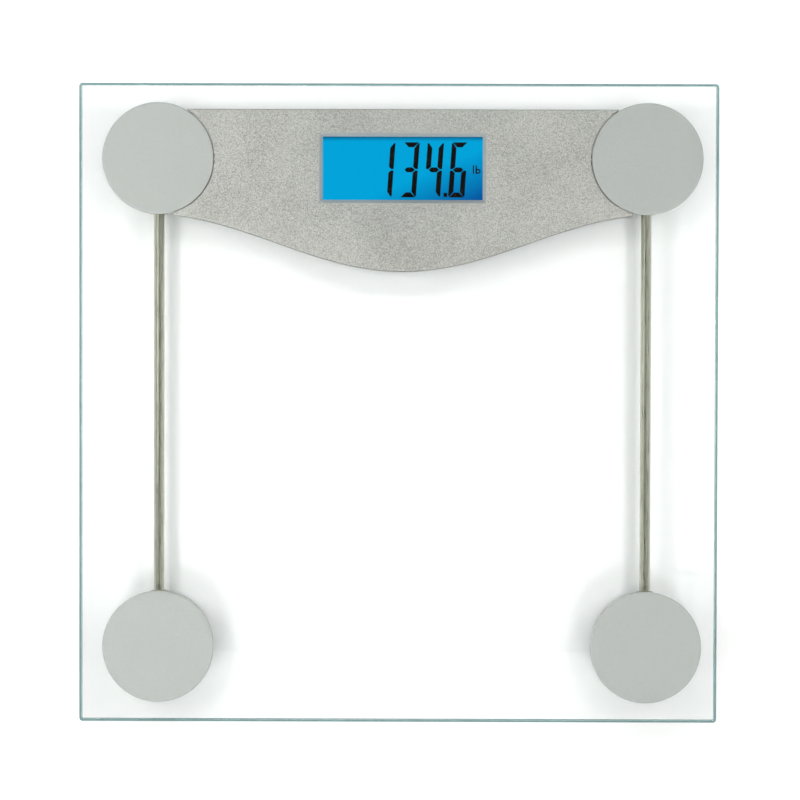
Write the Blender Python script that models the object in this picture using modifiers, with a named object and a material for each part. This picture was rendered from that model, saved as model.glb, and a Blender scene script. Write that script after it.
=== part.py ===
"""Digital glass platform scale: a glass sheet on four load-cell feet, a display housing and two wire tubes.

Frame: metres, +Z up. The origin is on the floor under the middle of the glass. +Y points to the display end
(the toes), -Y to the heel end. Everything under the glass hangs from it by thin bonded joints.
"""

import math

import bmesh
import bpy
from mathutils import Matrix, Vector

MM = 0.001

# --- clearances ---
GAP = 0.3 * MM  # between pieces that touch, and the thickness of the bond under the glass
RUN_GAP = 0.6 * MM  # round a piece that moves
STOP_GAP = 0.1 * MM  # left over at the end of a piece's travel
SEAT_GAP = 0.2 * MM  # between a piece and the face that keeps it in place
CUT_PAST = 1 * MM  # how far a cutting solid runs past the face that it opens

# --- glass platform ---
GLASS_SIDE = 305 * MM
GLASS_THICK = 6 * MM
GLASS_CORNER = 2.5 * MM
GLASS_CORNER_STEPS = 4
GLASS_CHAMFER = 1.2 * MM

# --- feet ---
FOOT_INSET = 35.5 * MM  # from the glass's edge to a foot's centre
FRAME_SHIFT_X = 1.8 * MM  # all that is bonded under the glass sits this far to the right of its middle
DISC_RADIUS = 26.7 * MM
DISC_THICK = 1.7 * MM
DISC_CHAMFER = 0.4 * MM
CUP_WALL = 2.4 * MM
CUP_ROOF = 1.6 * MM
CUP_STEP = 0.5 * MM  # the cup is this much smaller than its disc
CUP_DRAFT = 0.5 * MM
CUP_LIP = 1.8 * MM  # the inner lip that keeps the foot from falling out
CUP_LIP_THICK = 1.1 * MM
CUP_RAISE = 1.0 * MM  # from the housing's underside to the cup's rim
CELL_ROOM = 4.5 * MM  # from the load cell's corners to the cup's wall
CELL_CORNER = 4 * MM
CELL_THICK = 2.4 * MM
CELL_TO_FOOT = 0.5 * MM
CELL_SLOT = 1.6 * MM
TONGUE_WIDTH = 9 * MM
TONGUE_LENGTH = 20 * MM
PEG_RADIUS = 2.2 * MM
PEG_LENGTH = 3.1 * MM
FOOT_TRAVEL = 0.8 * MM
FOOT_FLANGE = 1.4 * MM
FOOT_FLOOR = 1.4 * MM
FOOT_STEM_RADIUS = 4 * MM
FOOT_RIM_Z = 1.2 * MM
FOOT_CHAMFER = 0.6 * MM
PAD_INSET = 3.2 * MM  # from the foot's side to the pad
PAD_DEPTH = 0.7 * MM  # how deep the pad sits in the foot
PAD_RING_INSET = 5.7 * MM  # from the pad's edge to the groove in its face
PAD_GROOVE = 0.5 * MM
PAD_CHAMFER = 0.4 * MM

# --- wire tubes and leads ---
TUBE_RADIUS = 2.55 * MM
TUBE_WALL = 0.5 * MM
TUBE_ENTRY = 1.2 * MM  # how far a tube's end stands inside its cup
SOCKET_WALL = 1.2 * MM
LEAD_RADIUS = 1.0 * MM
LEAD_STEP = 9 * MM  # between the points that a lead is drawn through
LEAD_LIFT = 0.4 * MM  # over the load cell and the board
LEAD_STRAIGHT = 6 * MM  # a lead runs straight this far inside each end of its tube
LEAD_SPREAD = 1.5 * MM  # half the distance between two leads side by side
LEAD_HOLE_RADIUS = 2.8 * MM

# --- batteries (size AAA) ---
BATTERY_RADIUS = 5.25 * MM
BATTERY_LENGTH = 44.5 * MM
BATTERY_NUB_RADIUS = 1.9 * MM
BATTERY_NUB = 0.9 * MM
BATTERY_EDGE = 0.6 * MM
BATTERY_LIFT = 0.5 * MM  # over the housing's floor
CONTACT_THICK = 0.4 * MM
CONTACT_HEIGHT = 7.8 * MM
CONTACT_WIDTH = 8.6 * MM
SPRING_LENGTH = 3.2 * MM
SPRING_WIRE = 0.35 * MM
SPRING_TURNS = 3
SPRING_STEPS = 10  # points per turn
SPRING_WIDE = 3.9 * MM  # radius of the coil at its contact
SPRING_NARROW = 2.2 * MM  # and at the cell

# --- housing ---
FLOOR_CLEARANCE = 4.5 * MM
SHELL_WALL = 1.8 * MM
SHELL_TOP = 1.8 * MM
SHELL_FLOOR = 1.6 * MM
SHELL_EDGE = 0.8 * MM  # rounding of the upper shell's top edge
SHELL_END_DROP = 26.6 * MM  # from the foot row to the wavy front edge at its ends
SHELL_WAVE_PAST = 5 * MM  # the half wave ends this far outside the foot's centre
SHELL_TIP = 7 * MM  # the shell's blunt tips end this far inside the foot's centre
DISC_GAP = 0.4 * MM  # between a disc and the hollow end of the shell
PARTING_HEIGHT = 6.2 * MM  # the lower shell's height
WINDOW_WIDTH = 76.6 * MM
WINDOW_HEIGHT = 30.3 * MM
WINDOW_SLOPE = 1.6 * MM  # the window frame widens by this on each side towards the glass
WINDOW_DROP = 4.6 * MM  # from the foot row to the window's centre
BAY_WALL = 1.4 * MM
BAY_ROOF = 0.7 * MM
BAY_FRONT = 6.5 * MM  # from the shell's front edge to the bay's inner side, on the middle line
BAY_PLAY = 0.3 * MM  # left over along the cells
BAY_ROOM = 0.45 * MM  # from the bay's inner side to the front battery
BAY_TO_LCD = 2.1 * MM
POST_RADIUS = 3.2 * MM
SCREW_SHANK = 1.25 * MM
SCREW_HEAD = 2.5 * MM
SCREW_HEAD_HEIGHT = 1.6 * MM
SCREW_TIP_GAP = 1.5 * MM
SCREW_PILOT_ROOF = 1.2 * MM
SCREW_SINK = 0.4 * MM
SCREW_INSET = 33 * MM  # from a foot's centre towards the middle
SCREW_BACK_INSET = 7.5 * MM  # the rear screws from the back edge
SCREW_FRONT_INSET = 8.7 * MM  # the outer front screws from the front edge
SCREW_MIDDLE_X = 36 * MM  # the inner front screws from the middle line
SCREW_MIDDLE_INSET = 7 * MM  # and from the front edge
SCREW_BOSS_EXTRA = 0.6 * MM  # the lower shell's bosses are wider than the posts by this

# --- display, board, button ---
LCD_MARGIN = 3.6 * MM  # the LCD's frame outside the window, left and right
LCD_MARGIN_FRONT = 2.0 * MM
LCD_MARGIN_BACK = 3.0 * MM
LCD_THICK = 2.2 * MM
LCD_DROP = 0.7 * MM  # from the shell's top plate to the LCD's face
STRIP_WIDTH = 1.7 * MM
BACKLIGHT_LIFT = 0.5 * MM
BOARD_THICK = 1.2 * MM
BOARD_MARGIN = 8 * MM  # the board outside the LCD, left and right
BOARD_BACK = 5.5 * MM  # the board behind the LCD
BOARD_FRONT = 1.5 * MM
BOARD_TO_BACK = 2.65 * MM  # from the board to the shell's back wall
BOARD_POST_RADIUS = 2.2 * MM
BOARD_POST_INSET = 3 * MM  # from the board's back edge
BOARD_PILOT_ROOF = 0.4 * MM
BOARD_SCREW_RADIUS = 0.9 * MM
BOARD_SCREW_HEAD = 1.8 * MM
BOARD_SCREW_HEAD_HEIGHT = 1.3 * MM
BOARD_SCREW_LENGTH = 5 * MM
CHIP_RADIUS = 7 * MM
CHIP_HEIGHT = 1.4 * MM
CHIP_X = -20 * MM
SWITCH_SIDE = 6 * MM
SWITCH_BODY = 1.7 * MM
SWITCH_PLUNGER = 0.7 * MM
SWITCH_PLUNGER_RADIUS = 1.6 * MM
BUTTON_X = 30 * MM
BUTTON_Y = -2 * MM  # from the foot row
BUTTON_RADIUS = 3.5 * MM
BUTTON_FLANGE = 1.3 * MM
BUTTON_FLANGE_THICK = 0.4 * MM
BUTTON_RECESS = 0.1 * MM
BUTTON_TRAVEL = 0.8 * MM
BUTTON_CHAMFER = 0.3 * MM
WIRE_RADIUS = 0.6 * MM
WIRE_HOLE = 0.95 * MM
WIRE_TO_CONTACT = 0.05 * MM
RED_WIRE_DROP = 3 * MM  # from the cells' axis to the red wire's hole
BLACK_WIRE_RISE = 1 * MM

# --- battery door ---
DOOR_GAP = 0.4 * MM
DOOR_BARREL = 1.5 * MM  # radius of the rounded edge that the door turns on
DOOR_PIN = 0.8 * MM
DOOR_PIN_GAP = 0.2 * MM
DOOR_PIN_LENGTH = 1.0 * MM
LATCH_WIDTH = 10 * MM
LATCH_DEPTH = 6 * MM
LATCH_SLIT = 0.8 * MM
LATCH_RIDGE = 0.8 * MM
LATCH_RIDGE_WIDTH = 1.2 * MM
GRIP_DEPTH = 0.6 * MM  # of the finger hollow in the door
GRIP_RADIUS = 3.5 * MM
GRIP_INSET = 1.5 * MM

# --- heights and places worked out from the sizes above ---
shell_bottom = FLOOR_CLEARANCE
floor_top = shell_bottom + SHELL_FLOOR
battery_bottom = floor_top + BATTERY_LIFT
battery_z = battery_bottom + BATTERY_RADIUS
bay_roof_low = battery_z + BATTERY_RADIUS + SEAT_GAP
bay_roof_high = bay_roof_low + BAY_ROOF
plate_low = bay_roof_high + SEAT_GAP  # underside of the upper shell's top plate
shell_top = plate_low + SHELL_TOP
parting_low = shell_bottom + PARTING_HEIGHT
parting_high = parting_low + GAP
glass_low = shell_top + GAP
glass_high = glass_low + GLASS_THICK

foot_x = GLASS_SIDE / 2 - FOOT_INSET
foot_y = GLASS_SIDE / 2 - FOOT_INSET

disc_low = shell_top - DISC_THICK
cup_high = disc_low - GAP
cup_low = shell_bottom + CUP_RAISE
cup_radius = DISC_RADIUS - CUP_STEP
cup_inner = cup_radius - CUP_WALL
cup_lip_radius = cup_inner - CUP_LIP
cup_lip_high = cup_low + CUP_LIP_THICK
roof_low = cup_high - CUP_ROOF
cell_high = roof_low - PEG_LENGTH - GAP
cell_low = cell_high - CELL_THICK
cell_reach = cup_inner - CELL_ROOM
cell_half = (CELL_CORNER + math.sqrt(2 * cell_reach**2 - CELL_CORNER**2)) / 2
peg_offset = cell_half - CELL_CORNER
foot_flange_low = cup_lip_high + GAP
foot_flange_high = foot_flange_low + FOOT_FLANGE
foot_radius = cup_lip_radius - RUN_GAP
foot_flange_radius = cup_inner - RUN_GAP
foot_inner = cell_reach + CELL_TO_FOOT
pad_radius = foot_radius - PAD_INSET
pad_ring = pad_radius - PAD_RING_INSET
foot_stem_high = cell_low - FOOT_TRAVEL - STOP_GAP
pad_seat = FOOT_RIM_Z + PAD_DEPTH + GAP

tube_z = foot_flange_high + FOOT_TRAVEL + RUN_GAP + TUBE_RADIUS
tube_end = cup_inner - TUBE_ENTRY
tube_bore = TUBE_RADIUS + GAP
lead_z = cell_high + GAP + LEAD_RADIUS + LEAD_LIFT
lead_hole_z = max(lead_z, parting_high + LEAD_HOLE_RADIUS + GAP)

shell_end_radius = DISC_RADIUS + DISC_GAP
shell_tip_x = foot_x - SHELL_TIP

window_y = foot_y - WINDOW_DROP
lcd_high = plate_low - LCD_DROP
lcd_low = lcd_high - LCD_THICK
lcd_half = WINDOW_WIDTH / 2 + LCD_MARGIN
lcd_front = window_y - WINDOW_HEIGHT / 2 - LCD_MARGIN_FRONT
lcd_back = window_y + WINDOW_HEIGHT / 2 + LCD_MARGIN_BACK
button_low = shell_bottom + BUTTON_RECESS
button_flange_low = floor_top + SEAT_GAP
button_high = button_flange_low + BUTTON_FLANGE_THICK
plunger_low = button_high + BUTTON_TRAVEL + STOP_GAP
switch_low = plunger_low + SWITCH_PLUNGER
board_low = switch_low + SWITCH_BODY + GAP
board_high = board_low + BOARD_THICK
board_half = lcd_half + BOARD_MARGIN
button_place = (BUTTON_X, foot_y + BUTTON_Y)
board_front = lcd_front + BOARD_FRONT
board_back = lcd_back + BOARD_BACK
backlight_low = board_high + BACKLIGHT_LIFT
backlight_high = lcd_low - GAP
strip_front = lcd_back - STRIP_WIDTH - SEAT_GAP
shell_back_y = board_back + BOARD_TO_BACK + SHELL_WALL
board_post_x = (lcd_half + board_half) / 2
board_post_ys = (board_front + BOARD_POST_RADIUS, board_back - BOARD_POST_INSET)

# the battery bay, from its back wall under the LCD's edge forwards; the housing's front edge follows it
bay_half = (BATTERY_LENGTH + SPRING_LENGTH + 2 * CONTACT_THICK + 4 * GAP + BAY_PLAY) / 2
bay_back = lcd_front - BAY_TO_LCD - BAY_WALL
hinge_z = shell_bottom + DOOR_BARREL
# the door's rounded edge lies in the corner under the back battery
hinge_reach = math.sqrt((BATTERY_RADIUS + DOOR_BARREL + GAP) ** 2 - (battery_z - hinge_z) ** 2)
back_battery_y = bay_back - GAP - max(hinge_reach + DOOR_BARREL, BATTERY_RADIUS)
hinge_y = back_battery_y + hinge_reach
battery_ys = (back_battery_y - 2 * BATTERY_RADIUS - GAP, back_battery_y)
red_wire_z = battery_z - RED_WIRE_DROP
black_wire_z = battery_z + BLACK_WIRE_RISE
bay_front = battery_ys[0] - BATTERY_RADIUS - BAY_ROOM
shell_front_y = bay_front - BAY_FRONT
door_half = bay_half - DOOR_GAP
door_front = bay_front + DOOR_GAP


def front_edge(x):
    """Y of the shell's wavy front edge: a half cosine from the middle out to each foot."""
    half_wave = foot_x + SHELL_WAVE_PAST
    dip = (1 + math.cos(math.pi * min(abs(x) / half_wave, 1))) / 2
    ends = foot_y - SHELL_END_DROP
    return ends + (shell_front_y - ends) * dip


screw_places = [
    (side * x, y)
    for side in (-1, 1)
    for x, y in (
        (foot_x - SCREW_INSET, shell_back_y - SCREW_BACK_INSET),
        (foot_x - SCREW_INSET, front_edge(foot_x - SCREW_INSET) + SCREW_FRONT_INSET),
        (SCREW_MIDDLE_X, front_edge(SCREW_MIDDLE_X) + SCREW_MIDDLE_INSET),
    )
]
screw_pilot_high = plate_low - SCREW_PILOT_ROOF
screw_head_high = shell_bottom + SCREW_SINK + SCREW_HEAD_HEIGHT
screw_length = screw_pilot_high - SCREW_TIP_GAP - screw_head_high
board_screw_places = [(side * board_post_x, y) for side in (-1, 1) for y in board_post_ys]

# --- scene helpers ---
for old in list(bpy.data.objects):
    bpy.data.objects.remove(old, do_unlink=True)

parts = bpy.data.collections.new("glass_platform_scale")
cutters = bpy.data.collections.new("cutters")
cutters.hide_render = True
for collection in (parts, cutters):
    bpy.context.scene.collection.children.link(collection)

MATERIALS = {
    "clear_glass": ((0.80, 0.93, 0.91), 0.03, 0.0),
    "satin_disc": ((0.55, 0.58, 0.55), 0.45, 0.3),
    "textured_silver": ((0.47, 0.48, 0.46), 0.55, 0.3),
    "grey_plastic": ((0.40, 0.41, 0.40), 0.6, 0.0),
    "stainless": ((0.62, 0.61, 0.57), 0.25, 1.0),
    "rubber": ((0.16, 0.16, 0.16), 0.85, 0.0),
    "cell_steel": ((0.55, 0.55, 0.56), 0.35, 1.0),
    "lcd_blue": ((0.0, 0.38, 0.72), 0.2, 0.0),
    "backlight_white": ((0.85, 0.88, 0.9), 0.4, 0.0),
    "board_green": ((0.03, 0.22, 0.09), 0.5, 0.0),
    "black_resin": ((0.02, 0.02, 0.02), 0.4, 0.0),
    "battery_wrap": ((0.10, 0.10, 0.11), 0.35, 0.2),
    "nickel": ((0.70, 0.68, 0.63), 0.3, 1.0),
    "lead_grey": ((0.30, 0.30, 0.30), 0.6, 0.0),
    "wire_red": ((0.55, 0.02, 0.02), 0.5, 0.0),
    "wire_black": ((0.02, 0.02, 0.02), 0.5, 0.0),
}


def material(name):
    """The named Principled material, made on first use."""
    found = bpy.data.materials.get(name)
    if found:
        return found
    colour, roughness, metallic = MATERIALS[name]
    made = bpy.data.materials.new(name)
    made.use_nodes = True
    shader = made.node_tree.nodes["Principled BSDF"]
    shader.inputs["Base Color"].default_value = (*colour, 1)
    shader.inputs["Roughness"].default_value = roughness
    shader.inputs["Metallic"].default_value = metallic
    return made


def empty(name, location):
    made = bpy.data.objects.new(name, None)
    made.location = location
    parts.objects.link(made)
    return made


frame = empty("under_glass_frame", (FRAME_SHIFT_X, 0, 0))


def part(name, mesh, finish, parent=frame):
    """A visible piece in its parent's coordinates. Its name is its node's name."""
    made = bpy.data.objects.new(name, mesh)
    mesh.materials.clear()
    mesh.materials.append(material(finish))
    mesh.set_sharp_from_angle(angle=math.radians(35))
    made.parent = parent
    parts.objects.link(made)
    return made


def helper(name, mesh, parent=frame):
    """A solid that only cuts or joins."""
    made = bpy.data.objects.new(name, mesh)
    made.parent = parent
    made.hide_render = True
    made.display_type = "WIRE"
    cutters.objects.link(made)
    return made


def combine(target, tool, operation):
    step = target.modifiers.new(f"{operation.lower()}_{tool.name}", "BOOLEAN")
    step.operation = operation
    step.solver = "EXACT"
    step.object = tool


def cut(target, name, mesh, parent=frame):
    combine(target, helper(name, mesh, parent), "DIFFERENCE")


def add(target, name, mesh, parent=frame):
    combine(target, helper(name, mesh, parent), "UNION")


def box_mesh(low, high):
    form = bmesh.new()
    low, high = Vector(low), Vector(high)
    size = high - low
    place = Matrix.Translation((low + high) / 2) @ Matrix.Diagonal((*size, 1))
    bmesh.ops.create_cube(form, size=1, matrix=place)
    return finished(form, "box", smooth=False)


def cylinder_mesh(radius, low, high, centre=(0, 0), axis="Z", sides=24):
    """A cylinder along an axis. centre holds the other two coordinates, in X, Y, Z order."""
    turn = {
        "X": Matrix.Rotation(math.radians(90), 4, "Y"),
        "Y": Matrix.Rotation(math.radians(-90), 4, "X"),
        "Z": Matrix.Identity(4),
    }[axis]
    middle = (low + high) / 2
    place = {
        "X": (middle, *centre),
        "Y": (centre[0], middle, centre[1]),
        "Z": (*centre, middle),
    }[axis]
    form = bmesh.new()
    bmesh.ops.create_cone(
        form,
        cap_ends=True,
        segments=sides,
        radius1=radius,
        radius2=radius,
        depth=high - low,
        matrix=Matrix.Translation(place) @ turn,
    )
    return finished(form, "cylinder")


def finished(form, name, smooth=True):
    mesh = bpy.data.meshes.new(name)
    form.to_mesh(mesh)
    form.free()
    if smooth:
        mesh.shade_smooth()
    return mesh


def turned(name, profile, finish, parent, sides=48):
    """A solid of revolution about Z. Its profile of (radius, z) runs from the axis at the top, out and down."""
    mesh = bpy.data.meshes.new(name)
    rings = [(radius, 0, z) for radius, z in profile]
    mesh.from_pydata(rings, [(i, i + 1) for i in range(len(rings) - 1)], [])
    made = part(name, mesh, finish, parent)
    spin = made.modifiers.new("spin", "SCREW")
    spin.steps = spin.render_steps = sides
    spin.use_merge_vertices = True
    spin.merge_threshold = 0.00001
    spin.use_normal_calculate = False
    spin.use_smooth_shade = False
    return made


def plate_mesh(outline, low, high, edge=0.0):
    """A flat plate with this outline, its long edges rounded by edge if that is given."""
    curve = bpy.data.curves.new("outline", "CURVE")
    curve.dimensions = "2D"
    curve.fill_mode = "BOTH"
    curve.extrude = (high - low) / 2 - edge
    curve.bevel_depth = edge
    curve.bevel_resolution = 1
    curve.offset = -edge
    line = curve.splines.new("POLY")
    line.points.add(len(outline) - 1)
    for point, (x, y) in zip(line.points, outline):
        point.co = (x, y, 0, 1)
    line.use_cyclic_u = True
    holder = bpy.data.objects.new("outline", curve)
    cutters.objects.link(holder)
    mesh = bpy.data.meshes.new_from_object(holder.evaluated_get(bpy.context.evaluated_depsgraph_get()))
    bpy.data.objects.remove(holder)
    form = bmesh.new()
    form.from_mesh(mesh)
    bmesh.ops.remove_doubles(form, verts=form.verts, dist=0.000005)
    bmesh.ops.translate(form, verts=form.verts, vec=(0, 0, (low + high) / 2))
    bmesh.ops.recalc_face_normals(form, faces=form.faces)
    return finished(form, "plate")


def rod_part(name, points, radius, finish, parent=frame, resolution=2):
    """A wire, lead or spring that follows these points."""
    curve = bpy.data.curves.new(name, "CURVE")
    curve.dimensions = "3D"
    curve.bevel_depth = radius
    curve.bevel_resolution = resolution
    curve.use_fill_caps = True
    line = curve.splines.new("POLY")
    line.points.add(len(points) - 1)
    for point, place in zip(line.points, points):
        point.co = (*place, 1)
    curve.materials.append(material(finish))
    made = bpy.data.objects.new(name, curve)
    made.parent = parent
    parts.objects.link(made)
    return made


def smooth_route(points, step):
    """Points about one step apart on the Catmull-Rom curve through the route's own points."""
    route = [Vector(p) for p in points]
    ends = [2 * route[0] - route[1], *route, 2 * route[-1] - route[-2]]
    found = [route[0]]
    for a, b, c, d in zip(ends, ends[1:], ends[2:], ends[3:]):
        pieces = max(1, round((c - b).length / step))
        for i in range(1, pieces + 1):
            t = i / pieces
            spot = 2 * b + (c - a) * t + (2 * a - 5 * b + 4 * c - d) * t * t
            found.append((spot + (3 * b - a - 3 * c + d) * t ** 3) / 2)
    return found


# --- glass ---
def build_glass():
    """One sheet with small round corners and a chamfered edge, made as a plate bevelled at both faces."""
    sheet = box_mesh(
        (-GLASS_SIDE / 2, -GLASS_SIDE / 2, glass_low), (GLASS_SIDE / 2, GLASS_SIDE / 2, glass_high)
    )
    form = bmesh.new()
    form.from_mesh(sheet)
    upright = [e for e in form.edges if abs(e.verts[0].co.z - e.verts[1].co.z) > GLASS_THICK / 2]
    steps = GLASS_CORNER_STEPS
    bmesh.ops.bevel(form, geom=upright, offset=GLASS_CORNER, segments=steps, profile=0.5, affect="EDGES")
    rims = [e for e in form.edges if abs(e.calc_face_angle() - math.pi / 2) < 0.1]
    rims = [e for e in rims if abs(e.verts[0].co.z - e.verts[1].co.z) < MM / 100]
    bmesh.ops.bevel(form, geom=rims, offset=GLASS_CHAMFER, segments=1, profile=0.5, affect="EDGES")
    mesh = finished(form, "glass_platform", smooth=False)
    part("glass_platform", mesh, "clear_glass", None)


# --- one foot unit ---
def build_foot_unit(name, side, end):
    """side is -1 left, 1 right; end is 1 for the display end and -1 for the heel end."""
    centre = empty(f"{name}_axis", (side * foot_x, end * foot_y, 0))
    centre.parent = frame

    turned(
        f"{name}_disc",
        [
            (0, shell_top),
            (DISC_RADIUS - DISC_CHAMFER, shell_top),
            (DISC_RADIUS, shell_top - DISC_CHAMFER),
            (DISC_RADIUS, disc_low),
            (0, disc_low),
        ],
        "satin_disc",
        centre,
    )

    cup = turned(
        f"{name}_cup",
        [
            (0, cup_high),
            (cup_radius, cup_high),
            (cup_radius - CUP_DRAFT, cup_low),
            (cup_lip_radius, cup_low),
            (cup_lip_radius, cup_lip_high),
            (cup_inner, cup_lip_high),
            (cup_inner, roof_low),
            (0, roof_low),
        ],
        "grey_plastic",
        centre,
        sides=36,
    )
    for i, (px, py) in enumerate(((-1, -1), (1, -1), (1, 1), (-1, 1))):
        peg = cylinder_mesh(
            PEG_RADIUS, cell_high + GAP, roof_low + CUP_ROOF / 2, (px * peg_offset, py * peg_offset), sides=12
        )
        add(cup, f"{name}_peg_{i}", peg, centre)
    towards_tube = -end
    socket = sorted((towards_tube * (cup_inner + CUP_WALL / 3), towards_tube * (DISC_RADIUS - GAP)))
    socket_radius = tube_bore + SOCKET_WALL
    socket_z = min(tube_z, cup_high - SEAT_GAP - socket_radius)
    add(cup, f"{name}_socket", cylinder_mesh(socket_radius, *socket, (0, socket_z), "Y"), centre)
    bore = sorted((towards_tube * (tube_end - CUT_PAST), towards_tube * (DISC_RADIUS + CUT_PAST)))
    cut(cup, f"{name}_socket_bore", cylinder_mesh(tube_bore, *bore, (0, tube_z), "Y"), centre)
    if end > 0:
        hole = sorted((-side * (cup_inner - CUT_PAST), -side * (DISC_RADIUS + CUT_PAST)))
        lead_hole = cylinder_mesh(LEAD_HOLE_RADIUS, *hole, (0, lead_hole_z), "X", 16)
        cut(cup, f"{name}_lead_hole", lead_hole, centre)

    build_load_cell(name, centre, towards_tube)

    turned(
        f"{name}_foot",
        [
            (0, foot_stem_high),
            (FOOT_STEM_RADIUS, foot_stem_high),
            (FOOT_STEM_RADIUS, pad_seat + FOOT_FLOOR),
            (foot_inner, pad_seat + FOOT_FLOOR),
            (foot_inner, foot_flange_high),
            (foot_flange_radius, foot_flange_high),
            (foot_flange_radius, foot_flange_low),
            (foot_radius, foot_flange_low),
            (foot_radius, FOOT_RIM_Z + FOOT_CHAMFER),
            (foot_radius - FOOT_CHAMFER, FOOT_RIM_Z),
            (pad_radius + GAP, FOOT_RIM_Z),
            (pad_radius + GAP, pad_seat),
            (0, pad_seat),
        ],
        "grey_plastic",
        centre,
        sides=32,
    )
    pad_high = pad_seat - GAP
    turned(
        f"{name}_pad",
        [
            (0, pad_high),
            (pad_radius, pad_high),
            (pad_radius, PAD_CHAMFER),
            (pad_radius - PAD_CHAMFER, 0),
            (pad_ring, 0),
            (pad_ring - PAD_GROOVE, PAD_GROOVE),
            (pad_ring - 2 * PAD_GROOVE, 0),
            (0, 0),
        ],
        "rubber",
        centre,
        sides=32,
    )


def build_load_cell(name, centre, towards_tube):
    """A stamped steel square whose middle tongue bends: a slot like a U frees the tongue on three sides."""
    sheet = box_mesh((-cell_half, -cell_half, cell_low), (cell_half, cell_half, cell_high))
    cell = part(f"{name}_load_cell", sheet, "cell_steel", centre)
    form = bmesh.new()
    form.from_mesh(cell.data)
    upright = [e for e in form.edges if abs(e.verts[0].co.z - e.verts[1].co.z) > CELL_THICK / 2]
    bmesh.ops.bevel(form, geom=upright, offset=CELL_CORNER, segments=1, profile=0.5, affect="EDGES")
    form.to_mesh(cell.data)
    form.free()
    low, high = cell_low - CUT_PAST, cell_high + CUT_PAST
    tongue = TONGUE_WIDTH / 2
    root = -towards_tube * TONGUE_LENGTH / 2
    tip = towards_tube * TONGUE_LENGTH / 2
    for i, edge in enumerate((-1, 1)):
        xs = sorted((edge * tongue, edge * (tongue + CELL_SLOT)))
        ys = sorted((root, tip))
        cut(cell, f"{name}_slot_{i}", box_mesh((xs[0], ys[0], low), (xs[1], ys[1], high)), centre)
    ys = sorted((tip, tip - towards_tube * CELL_SLOT))
    reach = tongue + CELL_SLOT / 2
    cut(cell, f"{name}_slot_end", box_mesh((-reach, ys[0], low), (reach, ys[1], high)), centre)


# --- wire tubes and leads ---
def build_tube(name, side):
    """A stainless tube from cup to cup, with the heel foot's lead inside it."""
    length = foot_y - tube_end
    tube = part(
        f"{name}_tube",
        cylinder_mesh(TUBE_RADIUS, -length, length, (side * foot_x, tube_z), "Y", 24),
        "stainless",
    )
    past = length + CUT_PAST
    bore = cylinder_mesh(TUBE_RADIUS - TUBE_WALL, -past, past, (side * foot_x, tube_z), "Y", 24)
    cut(tube, f"{name}_tube_bore", bore)


def lead_end(side, offset):
    """The last stretch of a lead: out of the cup, into the housing and down on to the board's edge."""
    y = foot_y + offset
    board_z = board_high + GAP + LEAD_RADIUS
    wall_x = foot_x - shell_end_radius
    steps = (
        (foot_x - cup_inner + 2 * MM, lead_hole_z),
        (wall_x - SHELL_WALL - 1 * MM, lead_hole_z),
        (wall_x - 12 * MM, lead_hole_z - 0.3 * MM),
        (board_half + 7 * MM, board_z + 0.6 * MM),
        (board_half + 1 * MM, board_z),
        (board_half - 4 * MM, board_z),
    )
    return [(side * x, y, z) for x, z in steps]


def build_leads(name, side):
    """The heel lead runs in the tube, over the toe foot's load cell and into the housing beside the toe lead."""
    x = side * foot_x
    reach = -side * cup_inner
    middle_z = (lead_z + lead_hole_z) / 2
    heel = [
        (x, -foot_y + 0.17 * cup_inner, lead_z),
        (x, -foot_y + 0.46 * cup_inner, lead_z),
        (x, -foot_y + 0.7 * cup_inner, lead_z - 0.2 * MM),
        (x, -foot_y + tube_end - 0.5 * MM, tube_z),
        (x, -foot_y + tube_end + LEAD_STRAIGHT, tube_z),
        (x, 0, tube_z),
        (x, foot_y - tube_end - LEAD_STRAIGHT, tube_z),
        (x, foot_y - tube_end + 0.5 * MM, tube_z),
        (x, foot_y - 0.71 * cup_inner, lead_z - 0.2 * MM),
        (x + 0.13 * reach, foot_y - 0.46 * cup_inner, lead_z),
        (x + 0.42 * reach, foot_y - 0.19 * cup_inner, lead_z),
        (x + 0.67 * reach, foot_y - LEAD_SPREAD - 0.6 * MM, middle_z),
        *lead_end(side, -LEAD_SPREAD),
    ]
    toe = [
        (x - 0.04 * reach, foot_y + 0.21 * cup_inner, lead_z),
        (x + 0.25 * reach, foot_y + 0.17 * cup_inner, lead_z),
        (x + 0.59 * reach, foot_y + LEAD_SPREAD + 0.4 * MM, middle_z),
        *lead_end(side, LEAD_SPREAD),
    ]
    rod_part(f"heel_{name}_lead", smooth_route(heel, LEAD_STEP), LEAD_RADIUS, "lead_grey")
    rod_part(f"toe_{name}_lead", smooth_route(toe, LEAD_STEP), LEAD_RADIUS, "lead_grey")


# --- housing ---
def shell_outline(inset=0.0, steps=34):
    """The shell's outline drawn in by inset. The round hollows at its ends are cut afterwards."""
    edge = []
    for i in range(steps + 1):
        x = -shell_tip_x + 2 * shell_tip_x * i / steps
        slope = (front_edge(x + MM / 100) - front_edge(x - MM / 100)) / (2 * MM / 100)
        normal = Vector((-slope, 1)).normalized() * inset
        edge.append((x + normal.x, front_edge(x) + normal.y))
    back = shell_back_y - inset
    return [*edge, (shell_tip_x, back), (-shell_tip_x, back)]


def cut_cup_hollows(target, name, radius):
    low, high = shell_bottom - CUT_PAST, shell_top + CUT_PAST
    for side in (-1, 1):
        tool = cylinder_mesh(radius, low, high, (side * foot_x, foot_y), sides=48)
        cut(target, f"{name}_hollow_{side}", tool)


def hollow_out(target, name, low, high):
    """Cuts the inside of a shell, leaving its wall all round, also along the hollow ends."""
    inside = helper(f"{name}_inside", plate_mesh(shell_outline(SHELL_WALL), low, high))
    cut_cup_hollows(inside, f"{name}_inside", shell_end_radius + SHELL_WALL)
    combine(target, inside, "DIFFERENCE")


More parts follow.
